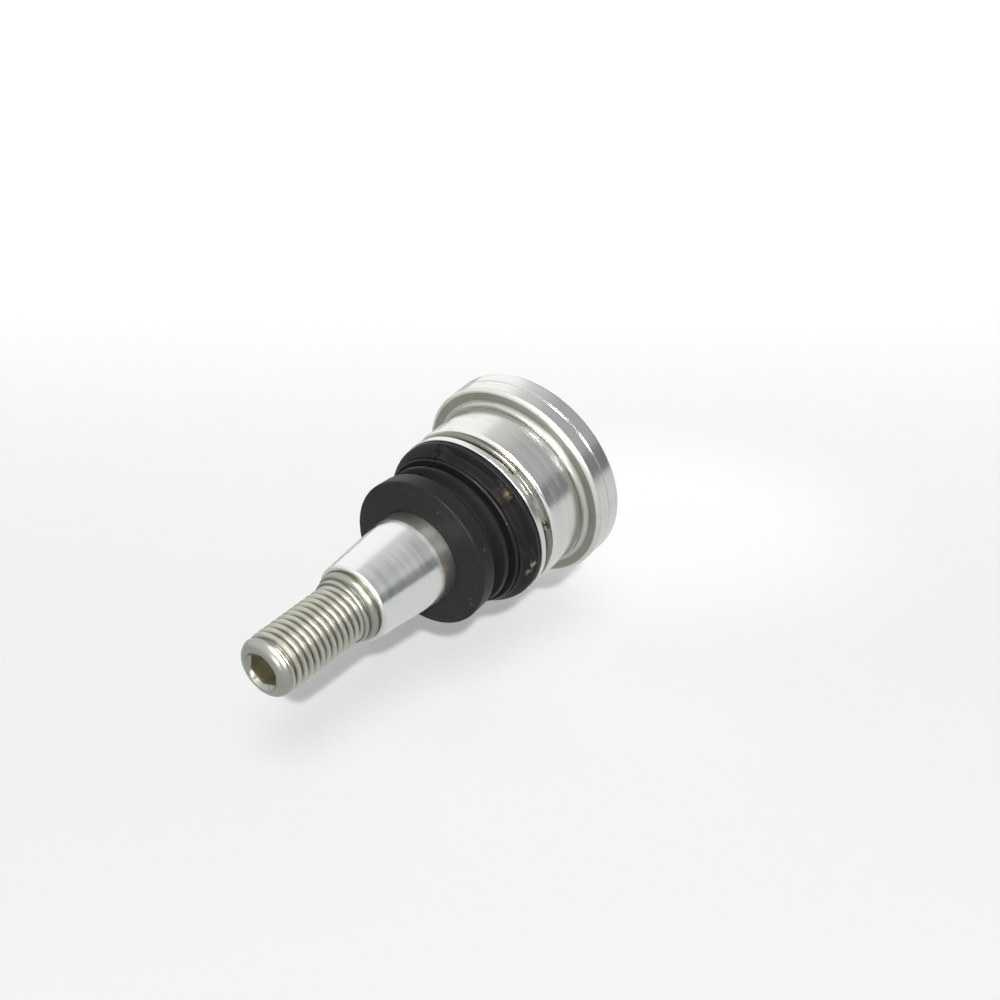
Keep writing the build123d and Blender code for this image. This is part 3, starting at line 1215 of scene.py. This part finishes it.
    def build_thread(self, steps: int = 96) -> Piece:
        """Builds the thread's ridge, which fades out at both ends.

        Args:
            steps: steps of each turn.

        Returns:
            The thread, in its place on the leaning stud.
        """
        bm = bmesh.new()
        half, flat, crest = self.pitch / 2, self.crest_half, self.thread_radius
        root, shoulder = self.core_radius - self.root_sink, crest - self.crest_rounding
        rising = ((root, -half), (self.core_radius, -half * self.root_half), (shoulder, -flat),
                  (crest, -flat * self.crest_flat))
        section = rising + tuple((radius, -height) for radius, height in reversed(rising))
        count = int(((self.thread_high - self.thread_low) / self.pitch + self.extra_turn) * steps)
        verts = [bm.verts.new((radius * MM, 0.0, height * MM)) for radius, height in section]
        bm.faces.new(verts)
        bmesh.ops.translate(bm, verts=verts, vec=(0.0, 0.0, (self.thread_low - half) * MM))
        edges = bm.edges[:]
        step_turn = Matrix.Rotation(2 * math.pi / steps, 3, "Z")
        rings = [verts]
        for _ in range(count):
            verts, edges = Turning.extrude(bm, edges)
            bmesh.ops.rotate(bm, verts=verts, cent=CENTRE, matrix=step_turn)
            bmesh.ops.translate(bm, verts=verts, vec=(0.0, 0.0, self.pitch / steps * MM))
            rings.append(verts)
        bmesh.ops.contextual_create(bm, geom=edges)
        for index, ring in enumerate(rings):
            fade = clamped(min(index / (self.fade_in * steps), (count - index) / (self.fade_out * steps)))
            self.lower_ridge(ring, math.sqrt(fade))
        Turning.turn(bm, LEAN.matrix())
        piece = Turning.finish(bm, "stud_thread", sharp=40.0, weigh=False)
        self.thread_steel.dress(piece)
        return piece

    def lower_ridge(self, ring: list[BMVert], share: float) -> None:
        """Lowers one section of the thread's ridge towards the core.

        Args:
            ring: the section's vertices.
            share: the share of the ridge's height that is left.
        """
        for vert in ring:
            radius = math.hypot(vert.co.x, vert.co.y) / MM
            if radius > self.core_radius:
                wanted = self.core_radius + (radius - self.core_radius) * share
                vert.co.x *= wanted / radius
                vert.co.y *= wanted / radius


# ---- stage


@dataclass(frozen=True)
class SoftLamp:
    """A round lamp, placed by a direction in the camera's own axes."""

    name: str
    way: Triple
    distance: float
    size: float
    energy: float
    glossy: bool
    diffuse: bool


@dataclass
class Studio:
    """The pale floor, the soft surroundings, the lamps and the camera."""

    floor_normal: Vector = field(default_factory=lambda: Vector((0.6906, -0.6921, -0.2101)).normalized())
    floor_depth: float = 45.0
    floor_size: float = 6.0
    floor_near: float = -0.09
    floor_far: float = 1.0
    floor_dark: float = 0.72
    floor_lit: float = 4.35
    floor_share: float = 0.7
    # Painted pool of light on the floor beside the flange: its centre in metres, and the ramp of the glow
    # that it adds
    light_pool_place: Triple = (-0.0306, 0.0593, -0.0815)
    light_pool_glow: Ramp = (0.02, 0.08, 0.3, 0.0)
    # Painted shade: reflections and bounce see the floor darker than the camera does, standing in for the
    # joint's shadow on a nearer floor
    floor_shade_in_reflections: Triple = (0.74, 0.74, 0.74)
    floor_seen: Triple = (0.9, 0.9, 0.9)
    backdrop: Triple = (0.93, 0.93, 0.93)
    matt_light: Triple = (0.2, 0.2, 0.2)
    left_wall: Triple = (1.2, 1.2, 1.17)
    right_wall: Triple = (0.20, 0.21, 0.22)
    wall_turn: Pair = (0.02, 0.14)
    wall_top: Pair = (0.30, 0.42)
    overhead: Ramp = (-0.12, 0.10, 1.22, 0.72)
    overhead_fall: Ramp = (0.10, 0.50, 0.0, 0.28)
    camera_place: Triple = (-0.00113, -0.25551, 0.19225)
    camera_right: Triple = (-0.6477, -0.4624, -0.6057)
    camera_up: Triple = (0.7620, -0.3930, -0.5148)
    lens: float = 57.2
    sensor: float = 36.0
    clip: Pair = (0.01, 20.0)
    lamps: tuple[SoftLamp, ...] = (
        SoftLamp("contact_lamp", (0.046, 0.125, 0.99), 2.4, 0.07, 62.0, False, True),
        SoftLamp("shadow_lamp", (0.045, 0.36, 0.93), 2.4, 0.8, 20.0, False, True),
        SoftLamp("side_glint", (0.60, 0.15, 0.79), 0.9, 0.28, 11.0, True, False),
        SoftLamp("top_glint", (0.15, 0.65, 0.75), 0.9, 0.32, 13.0, True, False),
        SoftLamp("front_glint", (-0.32, -0.27, 0.91), 0.9, 0.3, 2.0, True, False),
    )

    def build(self) -> None:
        """Builds the whole stage."""
        self.build_floor()
        self.build_world()
        self.build_camera()
        for lamp in self.lamps:
            self.build_lamp(lamp)
        bpy.context.scene.view_settings.view_transform = "Standard"

    def from_camera(self, right: float, up: float, back: float) -> Vector:
        """A direction given in the camera's own axes, in the joint's frame."""
        x_axis, y_axis = Vector(self.camera_right), Vector(self.camera_up)
        return (x_axis * right + y_axis * up + x_axis.cross(y_axis) * back).normalized()

    def build_floor(self) -> None:
        """Builds the pale floor, which can't be seen from below."""
        bm = bmesh.new()
        bmesh.ops.create_grid(bm, x_segments=1, y_segments=1, size=self.floor_size / 2)
        Turning.turn(bm, self.floor_normal.to_track_quat("Z", "Y").to_matrix())
        bmesh.ops.translate(bm, verts=bm.verts[:], vec=-self.floor_normal * self.floor_depth * MM)
        mesh = bpy.data.meshes.new("floor")
        bm.to_mesh(mesh)
        bm.free()
        mesh.materials.append(self.floor_material())
        floor = placed("floor", mesh)

    def floor_material(self) -> bpy.types.Material:
        """Makes a matt floor, brighter with distance, that the camera sees partly by its own pale glow, with
        a painted pool of light beside the flange, and that other rays see darker, as painted shade.

        Returns:
            The floor's material.
        """
        material = bpy.data.materials.new("Pale floor")
        material.use_nodes = True
        make = NodeMaker(material.node_tree)
        shader = make.tree.nodes["Principled BSDF"]
        away = self.from_camera(0.0, 0.0, -1.0)
        along = (away - self.floor_normal * away.dot(self.floor_normal)).normalized()
        place = make.add("ShaderNodeTexCoord").outputs["Object"]
        reach = make.measure("DOT_PRODUCT", place, tuple(along))
        level = make.ramp(reach, self.floor_near, self.floor_far, self.floor_dark, self.floor_lit)
        # Painted pool of light: a soft brighter spot added to the floor's glow
        off = make.measure("DISTANCE", place, self.light_pool_place)
        level = make.math("ADD", level, make.ramp(off, *self.light_pool_glow))
        glow = make.add("ShaderNodeEmission", {"Color": level}).outputs[0]
        camera = make.add("ShaderNodeLightPath").outputs["Is Camera Ray"]
        # The camera sees the pale floor; other rays see the darker one, which is painted shade
        pale = make.mix_colour(camera, opaque(self.floor_shade_in_reflections), opaque(self.floor_seen))
        make.fill(shader, {"Base Color": pale, "Roughness": 0.9, "Specular IOR Level": 0.0})
        share = make.times(camera, 1.0 - self.floor_share)
        seen = make.add("ShaderNodeMixShader", {0: share, 1: shader.outputs[0], 2: glow}).outputs[0]
        clear = make.add("ShaderNodeBsdfTransparent").outputs[0]
        hidden = make.times(make.add("ShaderNodeNewGeometry").outputs["Backfacing"], camera)
        mixed = make.add("ShaderNodeMixShader", {0: hidden, 1: seen, 2: clear}).outputs[0]
        make.fill(make.tree.nodes["Material Output"], {"Surface": mixed})
        return material

    def build_world(self) -> None:
        """Builds the surroundings: grey overhead, white at the left, and a dim band low at the right."""
        world = bpy.data.worlds.new("Soft surroundings")
        bpy.context.scene.world = world
        world.use_nodes = True
        make = NodeMaker(world.node_tree)
        direction = make.add("ShaderNodeTexCoord").outputs["Generated"]
        rise, across = (make.measure("DOT_PRODUCT", direction, tuple(axis))
                        for axis in (self.floor_normal, self.from_camera(1.0, 0.0, 0.0)))
        falling = make.ramp(across, *self.overhead_fall)
        grey = make.math("SUBTRACT", make.ramp(across, *self.overhead), falling)
        above = make.add("ShaderNodeCombineColor", dict.fromkeys(("Red", "Green", "Blue"), grey)).outputs[0]
        walls = make.mix_colour(make.ramp(across, *self.wall_turn), opaque(self.left_wall),
                                opaque(self.right_wall))
        colour = make.mix_colour(make.ramp(rise, *self.wall_top), walls, above)
        path = make.add("ShaderNodeLightPath").outputs
        mirrored = make.mix_colour(path["Is Glossy Ray"], opaque(self.matt_light), colour)
        lit, seen = (make.add("ShaderNodeBackground", {"Color": shown, "Strength": 1.0}).outputs[0]
                     for shown in (mirrored, opaque(self.backdrop)))
        mixed = make.add("ShaderNodeMixShader", {0: path["Is Camera Ray"], 1: lit, 2: seen}).outputs[0]
        make.fill(make.tree.nodes["World Output"], {"Surface": mixed})

    def build_camera(self) -> None:
        """Builds the camera."""
        data = bpy.data.cameras.new("camera")
        data.lens = self.lens
        data.sensor_width = self.sensor
        data.clip_start, data.clip_end = self.clip
        camera = placed("camera", data)
        x_axis, y_axis = Vector(self.camera_right).normalized(), Vector(self.camera_up).normalized()
        turn = Matrix((x_axis, y_axis, x_axis.cross(y_axis))).transposed().to_4x4()
        camera.matrix_world = Matrix.Translation(self.camera_place) @ turn
        bpy.context.scene.camera = camera

    def build_lamp(self, lamp: SoftLamp) -> None:
        """Builds one lamp, turned towards the ball.

        Args:
            lamp: its place, its size and its strength.
        """
        data = bpy.data.lights.new(lamp.name, "AREA")
        data.shape = "DISK"
        data.size = lamp.size
        data.energy = lamp.energy
        piece = placed(lamp.name, data)
        way = self.from_camera(*lamp.way)
        piece.location = way * lamp.distance
        piece.rotation_euler = (-way).to_track_quat("-Z", "Y").to_euler()
        piece.visible_glossy = lamp.glossy
        piece.visible_diffuse = lamp.diffuse


def main() -> None:
    """Builds the joint's pieces, reports them, and builds the stage."""
    logging.basicConfig(level=logging.INFO, format="%(name)s: %(message)s")
    for part in (Housing(), Boot(), Stud()):
        for piece in part.build():
            LOG.info("%s: %s", type(part).__name__, piece.name)
    Studio().build()


if __name__ == "__main__":
    main()
